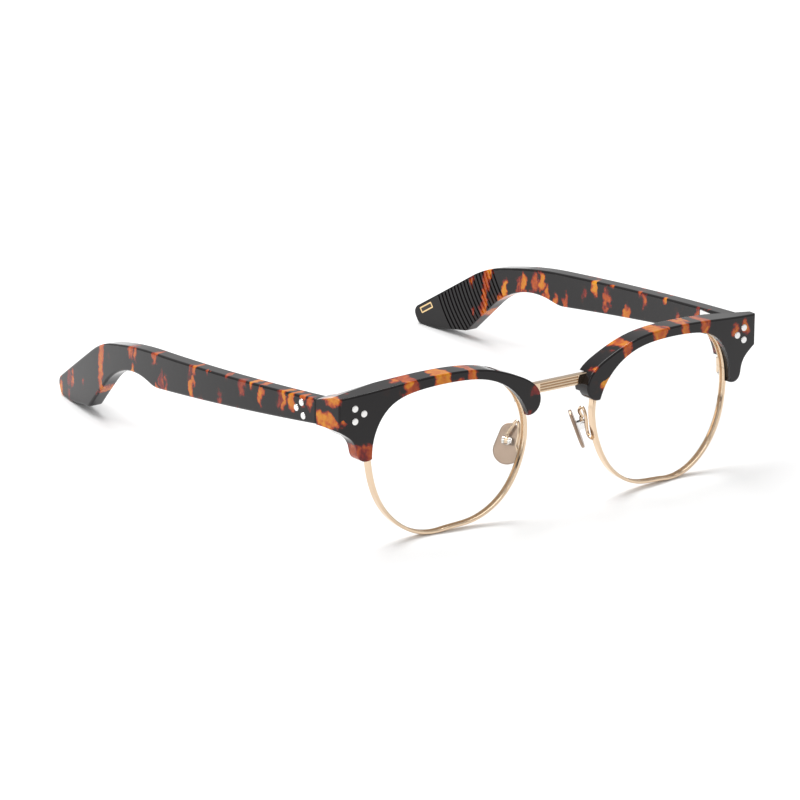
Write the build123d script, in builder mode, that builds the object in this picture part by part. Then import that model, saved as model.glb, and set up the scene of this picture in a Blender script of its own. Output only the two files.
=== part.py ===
from build123d import *
from math import asin, atan2, cos, degrees, radians, sin, tan
import os

os.makedirs("parts", exist_ok=True)

# Half-rim ("browline") eyeglasses. Millimetres, +Z up, the front looks along -Y, and the glasses
# stand as they lie open on a table: on the bottoms of the two eyewires and on the temple tips.
# The wearer's left is +X. Every left piece is modelled, and its right twin is its mirror image.

# ---- driving dimensions -------------------------------------------------------------------------
FRONT_Y = -73.26         # the front face at the middle, at brow height; centres the box on the origin
BROW_HEIGHT = 42.9       # height of the brow's outer corner above the foot of the front plane
LIFT = 0.23              # height of that foot above the table
LEAN = 3.81              # degrees that the front leans back
FRONT_RADIUS = 500.0     # plan radius of the front face
BROW_BACK_RADIUS = 406.0  # plan radius of the back of the brows, which thicken outwards
BROW_DEPTH = 6.0         # brow thickness at the middle
LOBE_DEPTH = 4.0         # thickness of the lobes that hang beside the lenses
LOBE_TOP = 31.5          # up to this height the lobes keep their own thickness

LENS_X = 36.8            # lens centre from the mid-plane
LENS_V = 22.0            # lens centre above the table
LENS_BASE_RADIUS = 150.0  # base curve of lenses and eyewires
RIM_RECESS = 0.26        # how far the eyewire's sphere stands behind the front face at the lens centre
RIM_DEPTH = 2.2          # eyewire section, front to back
RIM_THICK = 0.95         # eyewire section, radially
LIP = 1.4                # how far the brow covers the eyewire from in front
LENS_IN_GROOVE = 0.4     # how far the lens bevel reaches into the eyewire
LENS_THICK = 1.3
FIT = 0.03               # clearance of parts that are pressed, glued or screwed together

TEMPLE_RADIUS = 477.4    # plan radius of the temples' outer faces
TEMPLE_X = 75.05         # the widest point of a temple
TEMPLE_BOW_Y = 56.4      # and how far it lies behind the front
TEMPLE_THICK = 4.6

HINGE_X = 66.8           # hinge axis from the mid-plane
HINGE_DEPTH = 14.4       # hinge axis and temple joint behind the front plane
HINGE_V = 37.6           # middle of the hinge barrel along the leaning axis
JOINT_GAP = 0.2          # hairline between endpiece and temple
BARREL_R = 1.35
KNUCKLE = 1.12           # knuckle pitch along the axis
KNUCKLE_GAP = 0.05
HINGE_PIN_R = 0.60
HINGE_BORE_R = 0.64
PLATE = 0.9              # hinge leaf thickness

RIVET_HEAD_R = 1.0
RIVET_HEAD_H = 0.3
RIVET_SHANK_R = 0.5
RIVET_DOME = 0.27        # rounding of the heads' edges

# ---- the leaning frame of the front -------------------------------------------------------------
LEAN_SIN, LEAN_COS = sin(radians(LEAN)), cos(radians(LEAN))
FOOT = Vector(0, FRONT_Y - BROW_HEIGHT * tan(radians(LEAN)), LIFT)
FACE = Plane(origin=FOOT, x_dir=(1, 0, 0), z_dir=(0, -LEAN_COS, LEAN_SIN))
PLAN = Plane(origin=FOOT, x_dir=(1, 0, 0), z_dir=(0, LEAN_SIN, LEAN_COS))
SIDE = Plane(origin=FOOT, x_dir=(0, LEAN_COS, -LEAN_SIN), z_dir=(1, 0, 0))
BACK = Plane(origin=FOOT, x_dir=(1, 0, 0), z_dir=(0, LEAN_COS, -LEAN_SIN))
TEMPLE_SIDE = Plane(origin=(0, FRONT_Y, LIFT), x_dir=(0, 1, 0), z_dir=(1, 0, 0))


def behind(x, y, z):
    """A point given across, straight behind the front, and above the foot."""
    return Vector(x, FRONT_Y + y, LIFT + z)


def in_front(x, v, depth):
    """A point of the front: across, up its leaning face, and behind that face."""
    return FACE.from_local_coords((x, v, -depth))


def save(piece, name):
    piece.part.label = name
    export_step(piece.part, f"parts/{name}.step")


def save_pair(left, name):
    """Writes a left piece and its mirror image."""
    save(left, f"{name}_left")
    with BuildPart() as right:
        mirror(left.part, about=Plane.YZ)
    save(right, f"{name}_right")


# ---- eyewires and lenses ------------------------------------------------------------------------
# The outline of the eyewire: nearly straight at the top, tighter at its lower corners.
RIM_OUTLINE = [(39.0, 0.35), (50.6, 2.65), (58.6, 10.7), (62.1, 21.7), (61.7, 31.8), (57.0, 39.7),
               (46.8, 43.2), (35.9, 43.7), (24.8, 42.3), (15.8, 36.8), (11.5, 27.3), (13.1, 16.1),
               (18.6, 7.0), (28.2, 1.55)]
# The brow's opening before it is drawn in by its lip; only the part above the lobes is cut by it.
BROW_OPENING = [(39.0, 0.0), (51.7, 2.7), (59.9, 11.2), (63.6, 22.0), (62.9, 32.0), (57.6, 39.9),
                (46.8, 43.3), (35.9, 43.8), (24.8, 42.4), (15.4, 36.8), (10.6, 27.5), (12.3, 16.1),
                (18.4, 6.6), (28.0, 1.3)]

RIM_HALF_WIDTH = 25.3
RIM_HALF_HEIGHT = 21.9

wrap = asin(LENS_X / FRONT_RADIUS)
face_at_lens = FRONT_RADIUS - FRONT_RADIUS * cos(wrap)
BASE_CENTRE = in_front(LENS_X - LENS_BASE_RADIUS * sin(wrap), LENS_V,
                       face_at_lens + RIM_RECESS + LENS_BASE_RADIUS * cos(wrap))


def lens_blank(inset, radius, depth=14, points=RIM_OUTLINE):
    """A closed solid of an outline, drawn in by inset, behind a sphere of the base curve."""
    shrink_x = 1 - inset / RIM_HALF_WIDTH
    shrink_v = 1 - inset / RIM_HALF_HEIGHT
    drawn_in = [(LENS_X + (x - LENS_X) * shrink_x, LENS_V + (v - LENS_V) * shrink_v)
                for x, v in points]
    with BuildSketch(FACE) as outline:
        with BuildLine():
            Spline(*drawn_in, periodic=True)
        make_face()
    with BuildPart() as blank:
        extrude(outline.sketch, amount=-depth)
        with Locations(BASE_CENTRE):
            Sphere(radius, mode=Mode.INTERSECT)
    return blank.part


LENS_FRONT = LENS_BASE_RADIUS - (RIM_DEPTH - LENS_THICK) / 2
with BuildPart() as uncut_lens:
    add(lens_blank(RIM_THICK - LENS_IN_GROOVE, LENS_FRONT))
    add(lens_blank(0, LENS_FRONT - LENS_THICK), mode=Mode.SUBTRACT)

with BuildPart() as lens_left:
    add(uncut_lens.part)
    chamfer(lens_left.edges(), length=LENS_IN_GROOVE)
save_pair(lens_left, "lens")

RIM_SPLIT_V = 28.4
with BuildPart() as eyewire_left:
    add(lens_blank(0, LENS_BASE_RADIUS))
    add(lens_blank(-1, LENS_BASE_RADIUS - RIM_DEPTH), mode=Mode.SUBTRACT)
    add(lens_blank(RIM_THICK, LENS_BASE_RADIUS + 2), mode=Mode.SUBTRACT)
    fillet(eyewire_left.edges(), radius=0.25)
    add(uncut_lens.part, mode=Mode.SUBTRACT)
    with BuildSketch(SIDE.offset(60)):
        with Locations((5, RIM_SPLIT_V)):
            Rectangle(12, 0.12)
    extrude(amount=6, mode=Mode.SUBTRACT)
save_pair(eyewire_left, "eyewire")

# ---- endpiece and brow --------------------------------------------------------------------------
BROW_OUTER = 76.0        # drawn past the outer face, which the temple's plan arc then trims
ENDPIECE_BOTTOM = 33.9
ENDPIECE_TOP = 42.0      # before the sloping facet is cut
NOTCH_V = 35.3           # middle of the bridge
BRIDGE_HEIGHT = 3.0
BRIDGE_DEPTH = 2.6       # bridge behind the front face
BRIDGE_THICK = 1.7

with BuildSketch(FACE.offset(2)) as brow_outline:
    with BuildLine():
        crest = Spline((13.4, 29.3), (10.9, 29.1), (9.0, 30.4), (8.1, 32.8), (8.6, 35.3), (10.8, 37.9),
                       (15.4, 40.5), (25.2, 43.9), (36.0, 45.05), (54.0, 44.2), (BROW_OUTER, 42.5))
        lobe = Spline((BROW_OUTER, 34.9), (72.8, ENDPIECE_BOTTOM), (70.2, 32.3), (68.0, 30.4),
                      (66.9, 28.0), (66.4, 25.9), (65.2, 24.6), (63.6, 24.3), (61.5, 25.2))
        Line(crest @ 1, lobe @ 0)
        Polyline(lobe @ 1, (58.0, 28.0), (16.0, 31.5), crest @ 0)
    make_face()

with BuildSketch(PLAN) as brow_plan:
    with Locations((0, FRONT_RADIUS)):
        Circle(FRONT_RADIUS)
    with Locations((0, BROW_DEPTH + BROW_BACK_RADIUS)):
        Circle(BROW_BACK_RADIUS, mode=Mode.SUBTRACT)

with BuildSketch(SIDE.offset(HINGE_X + 1.7)) as endpiece_side:
    with BuildLine():
        Polyline((9, ENDPIECE_BOTTOM), (HINGE_DEPTH - JOINT_GAP / 2, ENDPIECE_BOTTOM),
                 (HINGE_DEPTH - JOINT_GAP / 2, ENDPIECE_TOP), (9, ENDPIECE_TOP), close=True)
    make_face()

TEMPLE_CENTRE = (TEMPLE_X - TEMPLE_RADIUS, FRONT_Y + TEMPLE_BOW_Y)
with BuildSketch(Plane.XY) as outer_plan:
    with Locations(TEMPLE_CENTRE):
        Circle(TEMPLE_RADIUS)

# the sloping facet of the endpiece, from the front corner down to the hinge
FACET = Plane(origin=behind(72.5, 5.3, BROW_HEIGHT), z_dir=(22.8, 67.0, 198.1))


def place(edge):
    """Where an edge's middle lies on the front: across, up its face, behind its curved face."""
    local = FACE.to_local_coords(edge @ 0.5)
    return local.X, local.Y, -local.Z - local.X ** 2 / (2 * FRONT_RADIUS)


def is_front_outline(edge):
    x, v, depth = place(edge)
    return edge.length > 5 and abs(depth) < 0.15 and not (12.5 < x < 61 and v < 43)


def is_back_crest(edge):
    x, v, depth = place(edge)
    return edge.length > 40 and depth > 3.5 and v > 43.9


# where the bridge and the two riveted hinge plates are let into the acetate
FRONT_PLATE_X = (62.6, 68.4)
FRONT_PLATE_DEPTH = 10.9
FRONT_PLATE_V = (HINGE_V - 2.8, HINGE_V + 3.2)
FRONT_RIVETS = [(67.5, 39.5), (64.8, 37.8), (67.5, 36.0)]
BROW_SCREW_X = 9.6
BROW_SCREW_R = 0.45
BROW_SCREW_HEAD = (0.85, 0.5)
BROW_SCREW_LENGTH = 2.9


def box_between(xs, vs, depths):
    """A block of the front, given its limits across, up and behind the face."""
    with BuildSketch(FACE.offset(-depths[0])) as outline:
        with Locations(((xs[0] + xs[1]) / 2, (vs[0] + vs[1]) / 2)):
            Rectangle(xs[1] - xs[0], vs[1] - vs[0])
    with BuildPart() as block:
        extrude(outline.sketch, amount=depths[0] - depths[1])
    return block.part


def pins_through(places, radius, near, far):
    """Round pins along the front's normal, between two depths."""
    with BuildSketch(FACE.offset(-near)) as circles:
        with Locations(*places):
            Circle(radius)
    with BuildPart() as pins:
        extrude(circles.sketch, amount=near - far)
    return pins.part


def face_depth(x):
    return x ** 2 / (2 * FRONT_RADIUS)


# the rivets stand through the endpieces with low domed heads, and hold the hinge plates behind
def front_rivet(x, v):
    with BuildPart() as rivet:
        add(pins_through([(x, v)], RIVET_SHANK_R, face_depth(x), FRONT_PLATE_DEPTH + PLATE + 0.2))
        add(pins_through([(x, v)], RIVET_HEAD_R, face_depth(x) - RIVET_HEAD_H, face_depth(x) + 0.1))
        fillet(rivet.faces().sort_by(Axis.Y)[0].edges(), radius=RIVET_DOME)
    return rivet.part


with BuildPart() as front_rivets_left:
    for x, v in FRONT_RIVETS:
        add(front_rivet(x, v))
save_pair(front_rivets_left, "front_rivets")

with BuildPart() as brow_left:
    extrude(brow_outline.sketch, amount=-20)
    extrude(brow_plan.sketch, amount=60, mode=Mode.INTERSECT)
    with BuildSketch(PLAN):
        with Locations((0, FRONT_RADIUS + LOBE_DEPTH)):
            Circle(FRONT_RADIUS)
    extrude(amount=LOBE_TOP, mode=Mode.SUBTRACT)
    extrude(endpiece_side.sketch, amount=10)
    extrude(outer_plan.sketch, amount=60, mode=Mode.INTERSECT)
    split(bisect_by=FACET, keep=Keep.BOTTOM)
    add(lens_blank(LIP, LENS_BASE_RADIUS + 20, points=BROW_OPENING), mode=Mode.SUBTRACT)
    fillet(brow_left.edges().filter_by(is_front_outline), radius=0.5)
    fillet(brow_left.edges().filter_by(is_back_crest), radius=0.4)
    add(lens_blank(-FIT, LENS_BASE_RADIUS + FIT), mode=Mode.SUBTRACT)
    add(box_between((4, 16), (NOTCH_V - BRIDGE_HEIGHT / 2 - FIT, NOTCH_V + BRIDGE_HEIGHT / 2 + FIT),
                    (BRIDGE_DEPTH - FIT, 12)), mode=Mode.SUBTRACT)
    add(box_between(FRONT_PLATE_X, FRONT_PLATE_V, (FRONT_PLATE_DEPTH - FIT, 16)), mode=Mode.SUBTRACT)
    add(front_rivets_left.part, mode=Mode.SUBTRACT)
    add(pins_through([(BROW_SCREW_X, NOTCH_V)], BROW_SCREW_R + FIT, 1.2, 4), mode=Mode.SUBTRACT)
save_pair(brow_left, "brow")

# ---- bridge -------------------------------------------------------------------------------------
RIDGES = 4
RIDGE_PITCH = BRIDGE_HEIGHT / RIDGES
RIDGED_HALF = 6.6
BRIDGE_HALF = 15.5

with BuildSketch(SIDE.offset(-BRIDGE_HALF)) as bridge_bar:
    with Locations((BRIDGE_DEPTH + BRIDGE_THICK / 2, NOTCH_V)):
        RectangleRounded(BRIDGE_THICK, BRIDGE_HEIGHT, 0.25)

with BuildSketch(SIDE.offset(-RIDGED_HALF)) as bridge_grooves:
    with Locations((BRIDGE_DEPTH, NOTCH_V)):
        with GridLocations(1, RIDGE_PITCH, 1, RIDGES - 1):
            RegularPolygon(0.30, 4, rotation=0)

with BuildPart() as bridge:
    extrude(bridge_bar.sketch, amount=2 * BRIDGE_HALF)
    extrude(bridge_grooves.sketch, amount=2 * RIDGED_HALF, mode=Mode.SUBTRACT)
    for rim_side in (lens_blank(-FIT, LENS_BASE_RADIUS + 20),
                     mirror(lens_blank(-FIT, LENS_BASE_RADIUS + 20), about=Plane.YZ, mode=Mode.PRIVATE)):
        add(rim_side, mode=Mode.SUBTRACT)
    for side in (-1, 1):
        add(pins_through([(side * BROW_SCREW_X, NOTCH_V)], BROW_SCREW_R + FIT, 2, 6), mode=Mode.SUBTRACT)
save(bridge, "bridge")

with BuildPart() as brow_screw_left:
    add(pins_through([(BROW_SCREW_X, NOTCH_V)], BROW_SCREW_R, BRIDGE_DEPTH + BRIDGE_THICK - BROW_SCREW_LENGTH,
                     BRIDGE_DEPTH + BRIDGE_THICK))
    add(pins_through([(BROW_SCREW_X, NOTCH_V)], BROW_SCREW_HEAD[0], BRIDGE_DEPTH + BRIDGE_THICK,
                     BRIDGE_DEPTH + BRIDGE_THICK + BROW_SCREW_HEAD[1]))
save_pair(brow_screw_left, "brow_screw")

# ---- closing barrels of the eyewires ------------------------------------------------------------
LOCK_X, LOCK_DEPTH = 62.9, 9.1
LOCK_R = 1.1
LOCK_HALF = 2.2
LOCK_SCREW_R = 0.45
LOCK_SPLIT = 0.12


def upright(v):
    return PLAN.offset(v)


def lock_half(v_from, v_to):
    """One half of a closing barrel, shaped to the back of the eyewire."""
    with BuildSketch(upright(v_from)) as section:
        with Locations((LOCK_X, LOCK_DEPTH)):
            Circle(LOCK_R)
        with Locations((LOCK_X - 0.3, LOCK_DEPTH - 0.9)):
            Rectangle(1.8, 1.8)
        with Locations((LOCK_X, LOCK_DEPTH)):
            Circle(LOCK_SCREW_R + FIT, mode=Mode.SUBTRACT)
    with BuildPart() as half:
        extrude(section.sketch, amount=v_to - v_from)
        add(lens_blank(-FIT, LENS_BASE_RADIUS + 1), mode=Mode.SUBTRACT)
        add(brow_left.part, mode=Mode.SUBTRACT)
    return half


save_pair(lock_half(RIM_SPLIT_V + LOCK_SPLIT / 2, RIM_SPLIT_V + LOCK_HALF), "rim_lock_upper")
save_pair(lock_half(RIM_SPLIT_V - LOCK_HALF, RIM_SPLIT_V - LOCK_SPLIT / 2), "rim_lock_lower")

with BuildPart() as rim_lock_screw_left:
    with BuildSketch(upright(RIM_SPLIT_V - LOCK_HALF)):
        with Locations((LOCK_X, LOCK_DEPTH)):
            Circle(LOCK_SCREW_R)
    extrude(amount=2 * LOCK_HALF - 0.1)
    with BuildSketch(upright(RIM_SPLIT_V - LOCK_HALF)):
        with Locations((LOCK_X, LOCK_DEPTH)):
            Circle(0.8)
    extrude(amount=-0.5)
save_pair(rim_lock_screw_left, "rim_lock_screw")

# ---- hinge --------------------------------------------------------------------------------------
KNUCKLE_HALF = (KNUCKLE - KNUCKLE_GAP) / 2
FRONT_KNUCKLES = (-2, 0, 2)
TEMPLE_KNUCKLES = (-1, 1)
SCREW_HEAD_H = 0.5
BARREL_TOP = HINGE_V + 2.5 * KNUCKLE
# the temple's plate lies along its inner face, half let in; across and behind the front plane
TEMPLE_PLATE = [(68.04, 16.0), (68.94, 16.0), (69.63, 25.0), (68.73, 25.0)]
TEMPLE_WEB = [(66.9, 14.5), (68.15, 14.5), (68.9, 16.0), (68.9, 17.2), (68.0, 17.2), (66.9, 15.7)]
TEMPLE_PLATE_V = (HINGE_V - 3.3, HINGE_V + 2.3)
TEMPLE_RIVETS = [(19.8, 37.3), (21.8, 35.3), (18.9, 33.8)]


def knuckle(k, web):
    """One knuckle of the barrel with the web that ties it to its plate."""
    with BuildSketch(upright(HINGE_V + k * KNUCKLE - KNUCKLE_HALF)) as section:
        with Locations((HINGE_X, HINGE_DEPTH)):
            Circle(BARREL_R)
        with BuildLine():
            Polyline(*web, close=True)
        make_face()
        with Locations((HINGE_X, HINGE_DEPTH)):
            Circle(HINGE_BORE_R, mode=Mode.SUBTRACT)
    with BuildPart() as solid:
        extrude(section.sketch, amount=2 * KNUCKLE_HALF)
    return solid.part


FRONT_WEB = [(HINGE_X - BARREL_R, FRONT_PLATE_DEPTH + 0.4), (HINGE_X + BARREL_R, FRONT_PLATE_DEPTH + 0.4),
             (HINGE_X + BARREL_R, HINGE_DEPTH), (HINGE_X - BARREL_R, HINGE_DEPTH)]
with BuildPart() as hinge_front_leaf_left:
    add(box_between((FRONT_PLATE_X[0] + FIT, FRONT_PLATE_X[1] - FIT),
                    (FRONT_PLATE_V[0] + FIT, FRONT_PLATE_V[1] - FIT),
                    (FRONT_PLATE_DEPTH, FRONT_PLATE_DEPTH + PLATE)))
    for k in FRONT_KNUCKLES:
        add(knuckle(k, FRONT_WEB))
    add(pins_through(FRONT_RIVETS, RIVET_SHANK_R + FIT, 8, 14), mode=Mode.SUBTRACT)
save_pair(hinge_front_leaf_left, "hinge_front_leaf")


def rivet_through_temple(y, z, radius, x_from, length):
    with BuildSketch(TEMPLE_SIDE.offset(x_from)) as disc:
        with Locations((y, z)):
            Circle(radius)
    with BuildPart() as pin:
        extrude(disc.sketch, amount=length)
    return pin.part


with BuildPart() as hinge_temple_leaf_left:
    with BuildSketch(upright(TEMPLE_PLATE_V[0])):
        with BuildLine():
            Polyline(*TEMPLE_PLATE, close=True)
        make_face()
    extrude(amount=TEMPLE_PLATE_V[1] - TEMPLE_PLATE_V[0])
    for k in TEMPLE_KNUCKLES:
        add(knuckle(k, TEMPLE_WEB))
    for y, z in TEMPLE_RIVETS:
        add(rivet_through_temple(y, z, RIVET_SHANK_R + FIT, 65, 8), mode=Mode.SUBTRACT)
save_pair(hinge_temple_leaf_left, "hinge_temple_leaf")

with BuildPart() as hinge_screw_left:
    with BuildSketch(upright(HINGE_V - 2.5 * KNUCKLE - 0.1)):
        with Locations((HINGE_X, HINGE_DEPTH)):
            Circle(HINGE_PIN_R)
    extrude(amount=5 * KNUCKLE + 0.2)
    with BuildSketch(upright(BARREL_TOP)):
        with Locations((HINGE_X, HINGE_DEPTH)):
            Circle(1.0)
    extrude(amount=SCREW_HEAD_H)
    with BuildSketch(upright(BARREL_TOP + SCREW_HEAD_H)):
        with Locations((HINGE_X, HINGE_DEPTH)):
            Rectangle(2.2, 0.25)
    extrude(amount=-0.25, mode=Mode.SUBTRACT)
save_pair(hinge_screw_left, "hinge_screw")

# ---- temples ------------------------------------------------------------------------------------
# Corners of a temple's side outline, each with the radius that rounds it: y behind the front, z.
TEMPLE_CORNERS = [((11.0, 40.28), 0.0), ((99.3, 29.2), 150.0), ((119.9, 23.85), 38.0),
                  ((148.2, 4.0), 2.5), ((145.6, -LIFT), 2.0), ((140.0, -LIFT), 15.0),
                  ((126.4, 2.4), 1.8), ((106.5, 23.4), 27.0), ((88.3, 20.5), 12.0),
                  ((11.0, 33.3), 0.0)]
TEMPLE_INNER_RADIUS = TEMPLE_RADIUS - TEMPLE_THICK


def temple_shell(inner, outer):
    """The plan arc of a temple between two radii, as a tall curved sheet."""
    with BuildSketch(Plane.XY) as ring:
        with Locations(TEMPLE_CENTRE):
            Circle(outer)
            Circle(inner, mode=Mode.SUBTRACT)
    with BuildPart() as sheet:
        extrude(ring.sketch, amount=50)
    return sheet.part


def side_prism(sketch):
    with BuildPart() as prism:
        extrude(sketch, amount=25)
    return prism.part


with BuildSketch(TEMPLE_SIDE.offset(55)) as temple_side:
    with BuildLine():
        FilletPolyline(*[corner for corner, r in TEMPLE_CORNERS],
                       radius=[r for corner, r in TEMPLE_CORNERS], close=True)
    make_face()

CORE_LINE = [(26.0, 34.6), (98.0, 25.4), (117.0, 19.6), (136.0, 7.0)]
with BuildSketch(TEMPLE_SIDE.offset(55)) as core_side:
    with BuildLine():
        FilletPolyline(*CORE_LINE, radius=15)
    trace(line_width=2.0)

with BuildPart() as core_wire_left:
    add(side_prism(core_side.sketch))
    add(temple_shell(TEMPLE_RADIUS - 2.9, TEMPLE_RADIUS - 1.7), mode=Mode.INTERSECT)
save_pair(core_wire_left, "core_wire")

INLAY_PLACE = (142.4, 5.6)
INLAY_TURN = -35
with BuildSketch(TEMPLE_SIDE.offset(55)) as inlay_side:
    with Locations(Location(INLAY_PLACE, INLAY_TURN)):
        RectangleRounded(5.2, 1.9, 0.25)
with BuildPart() as tip_inlay_left:
    add(side_prism(inlay_side.sketch))
    add(temple_shell(TEMPLE_INNER_RADIUS, TEMPLE_INNER_RADIUS + 0.5), mode=Mode.INTERSECT)
save_pair(tip_inlay_left, "tip_inlay")

TEMPLE_RIVET_END = 68.3


def temple_rivet(y, z):
    outer_x = TEMPLE_CENTRE[0] + (TEMPLE_RADIUS ** 2 - (y - TEMPLE_BOW_Y) ** 2) ** 0.5
    with BuildPart() as rivet:
        add(rivet_through_temple(y, z, RIVET_SHANK_R, TEMPLE_RIVET_END, outer_x - TEMPLE_RIVET_END))
        add(rivet_through_temple(y, z, RIVET_HEAD_R, outer_x - 0.15, RIVET_HEAD_H + 0.15))
        fillet(rivet.faces().sort_by(Axis.X)[-1].edges(), radius=RIVET_DOME)
    return rivet.part


with BuildPart() as temple_rivets_left:
    for y, z in TEMPLE_RIVETS:
        add(temple_rivet(y, z))
save_pair(temple_rivets_left, "temple_rivets")

# shallow bowed grooves across the inner face of each tip
GROOVES = 18
GROOVE_FIRST = (113.7, 19.4)
GROOVE_LAST = (134.3, 4.8)
GROOVE_BOW = 34.0
GROOVE_WIDTH = 0.75
GROOVE_DEPTH = 0.3
run = Vector(GROOVE_LAST[0] - GROOVE_FIRST[0], GROOVE_LAST[1] - GROOVE_FIRST[1])
bow_centre = Vector(*GROOVE_FIRST) - run.normalized() * GROOVE_BOW
with BuildSketch(TEMPLE_SIDE.offset(55)) as groove_side:
    for k in range(GROOVES):
        centre = bow_centre + run * (k / (GROOVES - 1))
        with BuildLine():
            CenterArc((centre.X, centre.Y), GROOVE_BOW, degrees(atan2(run.Y, run.X)) - 13, 26)
        trace(line_width=GROOVE_WIDTH)

with BuildPart() as grooves_left:
    add(side_prism(groove_side.sketch))
    add(temple_shell(TEMPLE_INNER_RADIUS - 1, TEMPLE_INNER_RADIUS + GROOVE_DEPTH), mode=Mode.INTERSECT)

with BuildPart() as temple_left:
    add(side_prism(temple_side.sketch))
    add(temple_shell(TEMPLE_INNER_RADIUS, TEMPLE_RADIUS), mode=Mode.INTERSECT)
    split(bisect_by=BACK.offset(HINGE_DEPTH + JOINT_GAP / 2), keep=Keep.TOP)
    fillet(temple_left.edges(), radius=0.6)
    add(hinge_temple_leaf_left.part, mode=Mode.SUBTRACT)
    add(core_wire_left.part, mode=Mode.SUBTRACT)
    add(tip_inlay_left.part, mode=Mode.SUBTRACT)
    add(temple_rivets_left.part, mode=Mode.SUBTRACT)
    add(grooves_left.part, mode=Mode.SUBTRACT)
save_pair(temple_left, "temple")

# ---- nose pads and their arms -------------------------------------------------------------------
PAD_CENTRE = behind(11.7, 8.2, 18.7)
PAD_SPLAY = 35           # degrees that the pad opens towards the back
PAD_TILT = 23            # degrees that it leans over the nose
PAD_THICK = 0.9
PAD_PIVOT = 2.1          # the screw's height over the middle of the pad
EAR_IN, EAR_OUT, EAR_HALF = 0.55, 1.15, 1.1
PAD_SCREW_R = 0.33
BOX_FLOOR = 0.3
TONGUE_R = 0.95
TONGUE_THICK = 0.96
WIRE_R = 0.47

splay, tilt = radians(PAD_SPLAY), radians(PAD_TILT)
PAD = Plane(origin=PAD_CENTRE, x_dir=(sin(splay), cos(splay), 0),
            z_dir=(cos(splay) * cos(tilt), -sin(splay) * cos(tilt), sin(tilt)))
PAD_SIDE = Plane(origin=PAD_CENTRE, x_dir=PAD.y_dir, z_dir=PAD.x_dir)

with BuildPart() as nose_pad_left:
    with BuildSketch(PAD.offset(-PAD_THICK / 2)):
        with Locations((0, -2.5)):
            Circle(4.0)
        with Locations((0, 2.1)):
            Circle(2.9)
        make_hull()
    extrude(amount=PAD_THICK)
    fillet(nose_pad_left.edges(), radius=0.3)
save_pair(nose_pad_left, "nose_pad")

with BuildPart() as pad_box_left:
    with BuildSketch(PAD_SIDE.offset(-EAR_OUT)):
        with Locations((0, PAD_PIVOT)):
            Circle(EAR_HALF)
        with Locations((0, (PAD_PIVOT + PAD_THICK / 2) / 2)):
            Rectangle(2 * EAR_HALF, PAD_PIVOT - PAD_THICK / 2)
        with Locations((0, PAD_PIVOT)):
            Circle(PAD_SCREW_R + FIT, mode=Mode.SUBTRACT)
    extrude(amount=2 * EAR_OUT)
    with BuildSketch(PAD_SIDE.offset(-EAR_IN)):
        with Locations((0, PAD_THICK / 2 + BOX_FLOOR + 5)):
            Rectangle(8, 10)
    extrude(amount=2 * EAR_IN, mode=Mode.SUBTRACT)
save_pair(pad_box_left, "pad_box")

with BuildPart() as pad_screw_left:
    with BuildSketch(PAD_SIDE.offset(-EAR_OUT)):
        with Locations((0, PAD_PIVOT)):
            Circle(PAD_SCREW_R)
    extrude(amount=2 * EAR_OUT)
    with BuildSketch(PAD_SIDE.offset(-EAR_OUT)):
        with Locations((0, PAD_PIVOT)):
            Circle(0.75)
    extrude(amount=-0.4)
save_pair(pad_screw_left, "pad_screw")

# the arm is a bent wire: soldered to the back of the eyewire, up, over, and down to an eye
PIVOT = PAD.from_local_coords((0, 0, PAD_PIVOT))
NECK = PAD.from_local_coords((0, 2.0, PAD_PIVOT + 0.5))
with BuildPart() as pad_arm_left:
    with BuildLine() as arm_line:
        Spline(behind(12.4, 1.8, 17.1), behind(12.3, 3.8, 18.6), behind(11.65, 3.95, 22.6),
               behind(11.3, 5.4, 25.2), behind(11.6, 6.9, 23.6), NECK,
               PAD.from_local_coords((0, 0.5, PAD_PIVOT)), tangents=((0, 1, 0), -PAD.y_dir))
    with BuildSketch(Plane(origin=arm_line.line @ 0, z_dir=arm_line.line % 0)):
        Circle(WIRE_R)
    sweep()
    with BuildSketch(PAD_SIDE.offset(-TONGUE_THICK / 2)):
        with Locations((0, PAD_PIVOT)):
            Circle(TONGUE_R)
    extrude(amount=TONGUE_THICK)
    with BuildSketch(PAD_SIDE.offset(-EAR_OUT)):
        with Locations((0, PAD_PIVOT)):
            Circle(PAD_SCREW_R + 0.05)
    extrude(amount=2 * EAR_OUT, mode=Mode.SUBTRACT)
    add(eyewire_left.part, mode=Mode.SUBTRACT)
save_pair(pad_arm_left, "pad_arm")
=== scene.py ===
from math import cos, pi, radians, sin

import bmesh
import bpy
from mathutils import Matrix, Vector


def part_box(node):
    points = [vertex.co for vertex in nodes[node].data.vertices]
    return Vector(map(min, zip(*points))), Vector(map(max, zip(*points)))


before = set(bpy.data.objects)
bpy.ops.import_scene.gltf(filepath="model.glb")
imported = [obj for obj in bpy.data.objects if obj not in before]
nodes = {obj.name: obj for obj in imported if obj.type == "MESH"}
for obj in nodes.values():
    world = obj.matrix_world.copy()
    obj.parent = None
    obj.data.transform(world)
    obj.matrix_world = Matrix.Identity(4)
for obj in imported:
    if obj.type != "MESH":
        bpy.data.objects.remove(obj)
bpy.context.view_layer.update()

MM = 0.001
SIDES = ("left", "right")

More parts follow.
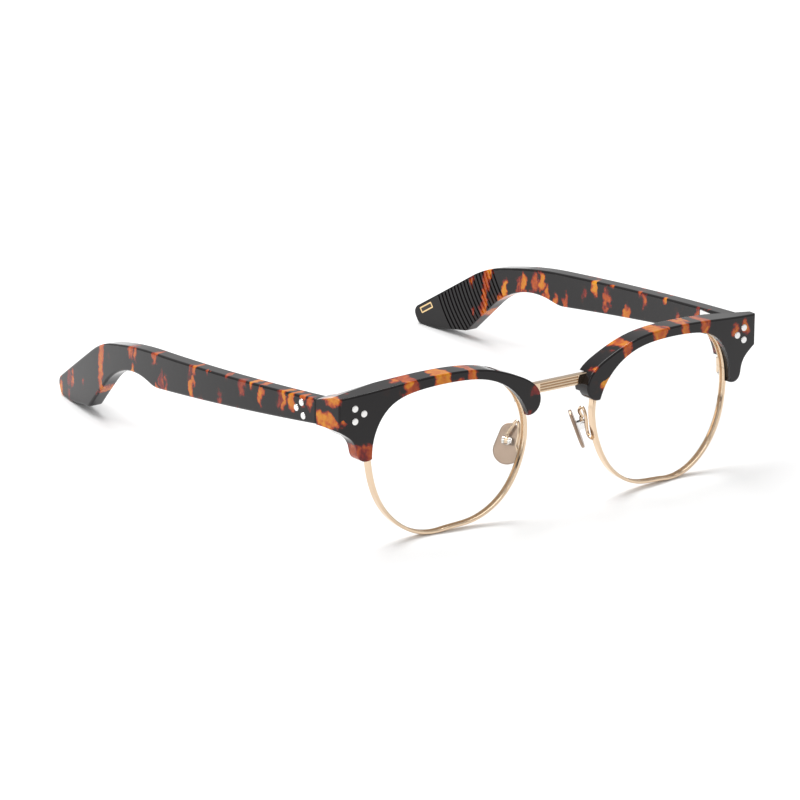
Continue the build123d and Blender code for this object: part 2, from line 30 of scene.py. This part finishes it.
# ---- camera, floor and light ---------------------------------------------------------------------
# The glasses stand open on a pale table top, seen from the wearer's right, a little from above,
# under one large soft light overhead and behind, in a white room.
camera = bpy.data.objects.new("camera", bpy.data.cameras.new("camera"))
bpy.context.scene.collection.objects.link(camera)
camera.data.lens = 228.55
camera.data.sensor_width = 36
camera.data.clip_end = 20
AZIMUTH, ELEVATION, ROLL = radians(-37.708), radians(19.411), radians(2.57)
camera.matrix_world = (Matrix.Translation(Vector((-831.15, -1075.906, 487.737)) * MM)
                       @ Matrix.Rotation(AZIMUTH, 4, "Z")
                       @ Matrix.Rotation(pi / 2 - ELEVATION, 4, "X")
                       @ Matrix.Rotation(ROLL, 4, "Z"))
bpy.context.scene.camera = camera
bpy.context.scene.view_settings.view_transform = "Standard"


class Socket:
    """An output in a material's node tree. Arithmetic on it adds Math nodes."""

    def __init__(self, finish, link):
        self.finish, self.link = finish, link

    def math(self, operation, *operands):
        return self.finish.node("ShaderNodeMath", {"operation": operation},
                                dict(enumerate(operands)))

    def __add__(self, other):
        return self.math("ADD", self, other)

    __radd__ = __add__

    def __mul__(self, other):
        return self.math("MULTIPLY", self, other)

    __rmul__ = __mul__

    def __sub__(self, other):
        return self.math("SUBTRACT", self, other)

    def __rsub__(self, other):
        return self.math("SUBTRACT", other, self)

    def largest(self, other):
        return self.math("MAXIMUM", self, other)

    def size(self):
        return self.math("ABSOLUTE", self)

    def fade(self, start, end):
        """0 at start, 1 at end, smooth between."""
        return self.finish.node("ShaderNodeMapRange", {"interpolation_type": "SMOOTHSTEP"},
                                {"Value": self, "From Min": start, "From Max": end})


class Finish:
    """A material under construction."""

    def __init__(self, name):
        self.material = bpy.data.materials.new(name)
        self.material.use_nodes = True
        self.tree = self.material.node_tree
        self.tree.nodes.clear()

    def node(self, kind, settings=None, inputs=None, output=0):
        made = self.tree.nodes.new(kind)
        for name, value in (settings or {}).items():
            if name == "stops":
                ramp = made.color_ramp
                while len(ramp.elements) < len(value):
                    ramp.elements.new(0.5)
                for element, (place, colour) in zip(ramp.elements, value):
                    element.position, element.color = place, (*colour, 1)
            else:
                setattr(made, name, value)
        for name, value in (inputs or {}).items():
            if isinstance(value, Socket):
                self.tree.links.new(value.link, made.inputs[name])
            else:
                made.inputs[name].default_value = value
        return Socket(self, made.outputs[output]) if made.outputs else made

    def place(self):
        """Where a point of the surface is on the object, in millimetres."""
        metres = self.node("ShaderNodeTexCoord", output="Object")
        return self.node("ShaderNodeVectorMath", {"operation": "SCALE"},
                         {0: metres, "Scale": 1000})

    def stretched(self, vector, scales, shift=(0, 0, 0)):
        return self.node("ShaderNodeMapping", None,
                         {"Vector": vector, "Scale": scales, "Location": shift})

    def noise(self, vector, scale, detail=2.0, roughness=0.5, output="Fac"):
        return self.node("ShaderNodeTexNoise", None,
                         {"Vector": vector, "Scale": scale, "Detail": detail,
                          "Roughness": roughness}, output)

    def mix(self, factor, first, second):
        return self.node("ShaderNodeMix", {"data_type": "RGBA"},
                         {"Factor": factor, 6: first, 7: second}, 2)

    def bump(self, height, strength, distance):
        return self.node("ShaderNodeBump", None,
                         {"Height": height, "Strength": strength, "Distance": distance})

    def principled(self, **inputs):
        names = {key.replace("_", " "): value for key, value in inputs.items()}
        return self.node("ShaderNodeBsdfPrincipled", None, names)

    def end(self, shader):
        self.node("ShaderNodeOutputMaterial", None, {"Surface": shader})
        return self.material


def put_on(material, *objects):
    for piece in objects:
        piece.data.materials.clear()
        piece.data.materials.append(material)


def new_piece(name, mesh):
    """A bmesh made into an object whose place is in its mesh."""
    data = bpy.data.meshes.new(name)
    mesh.to_mesh(data)
    mesh.free()
    piece = bpy.data.objects.new(name, data)
    bpy.context.scene.collection.objects.link(piece)
    return piece


table_mesh = bmesh.new()
bmesh.ops.create_grid(table_mesh, x_segments=1, y_segments=1, size=6)
bmesh.ops.translate(table_mesh, verts=table_mesh.verts, vec=(0, 0, -0.02 * MM))
table = new_piece("table", table_mesh)
top = Finish("table_top")
put_on(top.end(top.principled(Base_Color=(0.93, 0.93, 0.93, 1), Roughness=0.55)), table)

world = bpy.data.worlds.new("white_room")
bpy.context.scene.world = world
world.use_nodes = True
world.node_tree.nodes["Background"].inputs["Color"].default_value = (1, 1, 1, 1)
world.node_tree.nodes["Background"].inputs["Strength"].default_value = 0.6


def soft_light(name, place, target, size, power):
    lamp = bpy.data.objects.new(name, bpy.data.lights.new(name, "AREA"))
    lamp.data.shape = "RECTANGLE"
    lamp.data.size, lamp.data.size_y = size
    lamp.data.energy = power
    lamp.location = place
    lamp.rotation_euler = (Vector(target) - Vector(place)).to_track_quat("-Z", "Y").to_euler()
    bpy.context.scene.collection.objects.link(lamp)


soft_light("overhead", (-0.1, 0.45, 0.9), (0, 0, 0), (1.1, 0.6), 11)
soft_light("front_left", (-0.9, -0.5, 0.6), (0, 0, 0), (0.5, 0.7), 2)

# ---- tortoiseshell acetate -----------------------------------------------------------------------
# Brows and temples are milled from block acetate: chips of amber, orange and red sheet pressed
# into near-black brown, then tumbled to a high polish. The chips run right through the thickness.
NIGHT = (0.0055, 0.0040, 0.0045, 1)
COFFEE = (0.022, 0.007, 0.004, 1)
AMBER = (0.60, 0.205, 0.008, 1)
ORANGE = (0.46, 0.078, 0.005, 1)
RED = (0.17, 0.007, 0.006, 1)
HONEY = (0.74, 0.33, 0.015, 1)


def acetate(name, grain, shift, chosen):
    """Near-black stock with chips in it. Grain stretches the chips; chosen holds a chip's centre,
    half sizes and warmth, in millimetres, for the larger ones."""
    finish = Finish(name)
    place = finish.place()
    wobble = finish.noise(place, 0.28, 2.5, output="Color")
    wobble = finish.node("ShaderNodeVectorMath", {"operation": "SUBTRACT"},
                         {0: wobble, 1: (0.5, 0.5, 0.5)})
    wobble = finish.node("ShaderNodeVectorMath", {"operation": "SCALE"}, {0: wobble, "Scale": 5.0})
    flow = finish.node("ShaderNodeVectorMath", {"operation": "ADD"}, {0: place, 1: wobble})
    cells = {"Vector": finish.stretched(flow, grain, shift), "Scale": 0.24, "Randomness": 1.0}
    chip = finish.node("ShaderNodeTexVoronoi", None, cells, "Color")
    reach = finish.node("ShaderNodeTexVoronoi", None, cells, "Distance")
    pick = finish.node("ShaderNodeSeparateColor", None, {0: chip}, "Red")
    tone = finish.node("ShaderNodeSeparateColor", None, {0: chip}, "Green")
    ragged = finish.noise(place, 0.7, 3.0)
    streaks = finish.noise(finish.stretched(flow, (1.0, 1.0, 0.35)), 0.5, 3.0)
    lit = pick.fade(0.50, 0.60) * (1 - (reach + (ragged - 0.5) * 0.3).fade(0.22, 0.62))
    warmth = lit * (tone * 0.55 + streaks * 0.75)
    apart = finish.node("ShaderNodeSeparateXYZ", None, {0: place})
    x, y, z = (Socket(finish, apart.link.node.outputs[axis]) for axis in "XYZ")
    drift = finish.node("ShaderNodeSeparateXYZ", None, {0: wobble})
    shifts = [Socket(finish, drift.link.node.outputs[axis]) for axis in "XYZ"]
    for centre, half, level in chosen:
        away = None
        for along, shake, middle, reach_mm in zip((x, y, z), shifts, centre, half):
            if reach_mm:
                far = (along + shake * 0.6 - middle).size() - reach_mm
                away = far if away is None else away.largest(far)
        inside = 1 - (away + (ragged - 0.5) * 2.0).fade(-1.0, 0.6)
        warmth = warmth.largest(inside * (level + (streaks - 0.5) * 0.8))
    warmth = warmth * 0.82
    colour = finish.node("ShaderNodeValToRGB", {"stops": [
        (0.05, NIGHT[:3]), (0.18, COFFEE[:3]), (0.30, RED[:3]), (0.48, ORANGE[:3]),
        (0.66, AMBER[:3]), (0.95, HONEY[:3])]}, {0: warmth})
    faint = finish.noise(place, 0.35, 2.0)
    shader = finish.principled(Base_Color=colour, Roughness=0.04 + faint * 0.05, IOR=1.40,
                               Normal=finish.bump(faint, 0.15, 0.1 * MM))
    return finish.end(shader)


brow_acetate = acetate("acetate_brow", (0.8, 0.35, 0.8), (3, 1, 7), [
    ((-40.5, 0, 0), (2.8, 0, 0), 0.75),
    ((-50.0, 0, 0), (2.2, 0, 0), 0.55),
    ((-31.0, 0, 0), (1.8, 0, 0), 0.6),
    ((-65.0, 0, 26.0), (4.5, 0, 3.4), 0.45),
    ((-14.0, 0, 27.0), (2.6, 0, 3.5), 0.36),
    ((22.0, 0, 0), (1.8, 0, 0), 0.6),
    ((34.0, 0, 0), (2.4, 0, 0), 0.7),
    ((44.0, 0, 0), (1.6, 0, 0), 0.65),
    ((52.0, 0, 0), (2.2, 0, 0), 0.5),
])
temple_acetate = acetate("acetate_temple", (0.5, 1.2, 0.5), (11, 4, 2), [
    ((0, 46.0, 0), (0, 1.6, 0), 0.6),
])
for side in SIDES:
    put_on(brow_acetate, nodes[f"brow_{side}"])
    put_on(temple_acetate, nodes[f"temple_{side}"])


# ---- gilt metalwork ------------------------------------------------------------------------------
# Eyewires, bridge, pad arms and closing barrels are drawn nickel-silver wire, soldered, polished
# and plated in pale champagne gold.
def polished(name, colour, low, high, grain=(1, 1, 1), dent=0.02):
    finish = Finish(name)
    place = finish.stretched(finish.place(), grain)
    wear = finish.noise(place, 1.3, 3.0)
    tint = finish.mix(finish.noise(place, 0.4, 2.0), colour, [c * 0.9 for c in colour[:3]] + [1])
    shader = finish.principled(Base_Color=tint, Metallic=1.0, Roughness=low + wear * (high - low),
                               Normal=finish.bump(wear, dent, 0.05 * MM))
    return finish.end(shader)


gold = polished("champagne_gold", (0.78, 0.60, 0.43, 1), 0.05, 0.14)
GILT = ("eyewire", "pad_arm", "rim_lock_upper", "rim_lock_lower")
put_on(gold, nodes["bridge"])
for side in SIDES:
    put_on(gold, *(nodes[f"{kind}_{side}"] for kind in GILT))

# ---- rivets, screws and hinge leaves -------------------------------------------------------------
# Bright nickel. Rivets are polished flush-domed pins; the three-and-two barrel hinges are milled
# leaves; the screws turn in their barrels.
nickel = polished("bright_nickel", (0.84, 0.83, 0.82, 1), 0.08, 0.22)
BRIGHT = ("front_rivets", "temple_rivets", "hinge_front_leaf", "hinge_temple_leaf", "hinge_screw",
          "brow_screw", "rim_lock_screw", "pad_screw", "pad_box")
for side in SIDES:
    put_on(nickel, *(nodes[f"{kind}_{side}"] for kind in BRIGHT))

# ---- nose pads -----------------------------------------------------------------------------------
# Pressed titanium pads with a satin beige face, each held by its box on the arm's eye.
satin = polished("satin_titanium", (0.38, 0.28, 0.215, 1), 0.26, 0.42, (1, 1, 0.2), 0.06)
for side in SIDES:
    put_on(satin, nodes[f"nose_pad_{side}"])

# ---- core wires ----------------------------------------------------------------------------------
# A nickel-silver strip shot into each temple to stiffen it. Only its material is seen in section.
core = polished("core_nickel_silver", (0.55, 0.52, 0.47, 1), 0.25, 0.45, (1, 0.1, 1))
for side in SIDES:
    put_on(core, nodes[f"core_wire_{side}"])

# ---- lenses --------------------------------------------------------------------------------------
# Clear moulded resin, base curve, coated against reflection, so only a thin gloss is seen.
clear = Finish("clear_lens")
grazing = clear.node("ShaderNodeLayerWeight", None, {"Blend": 0.25}, "Facing")
through = clear.node("ShaderNodeBsdfTransparent", None, {"Color": (0.985, 0.99, 0.988, 1)})
gloss = clear.principled(Base_Color=(0.9, 0.93, 0.92, 1),
                         Roughness=0.02 + clear.noise(clear.place(), 0.2) * 0.02)
seen = clear.node("ShaderNodeMixShader", None, {0: grazing * 0.10 + 0.012, 1: through, 2: gloss})
clear_lens = clear.end(seen)
for side in SIDES:
    put_on(clear_lens, nodes[f"lens_{side}"])

# ---- tip inlays ----------------------------------------------------------------------------------
# A small gilt-edged plate let into the inner face of each tip, with a dark enamelled middle.
INLAY_TURN = radians(35)
low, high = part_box("tip_inlay_left")
inlay = Finish("tip_inlay")
spot = inlay.node("ShaderNodeSeparateXYZ", None, {0: inlay.place()})
off_y = Socket(inlay, spot.link.node.outputs["Y"]) - (low.y + high.y) / 2 / MM
off_z = Socket(inlay, spot.link.node.outputs["Z"]) - (low.z + high.z) / 2 / MM
along = (off_y * cos(INLAY_TURN) - off_z * sin(INLAY_TURN)).size()
across = (off_y * sin(INLAY_TURN) + off_z * cos(INLAY_TURN)).size()
border = (along - 2.2).largest(across - 0.55).fade(-0.05, 0.05)
inlay_shader = inlay.principled(
    Base_Color=inlay.mix(border, (0.02, 0.012, 0.01, 1), (0.80, 0.58, 0.30, 1)),
    Metallic=border, Roughness=0.15 + inlay.noise(inlay.place(), 1.5) * 0.1)
inlay_finish = inlay.end(inlay_shader)
for side in SIDES:
    put_on(inlay_finish, nodes[f"tip_inlay_{side}"])
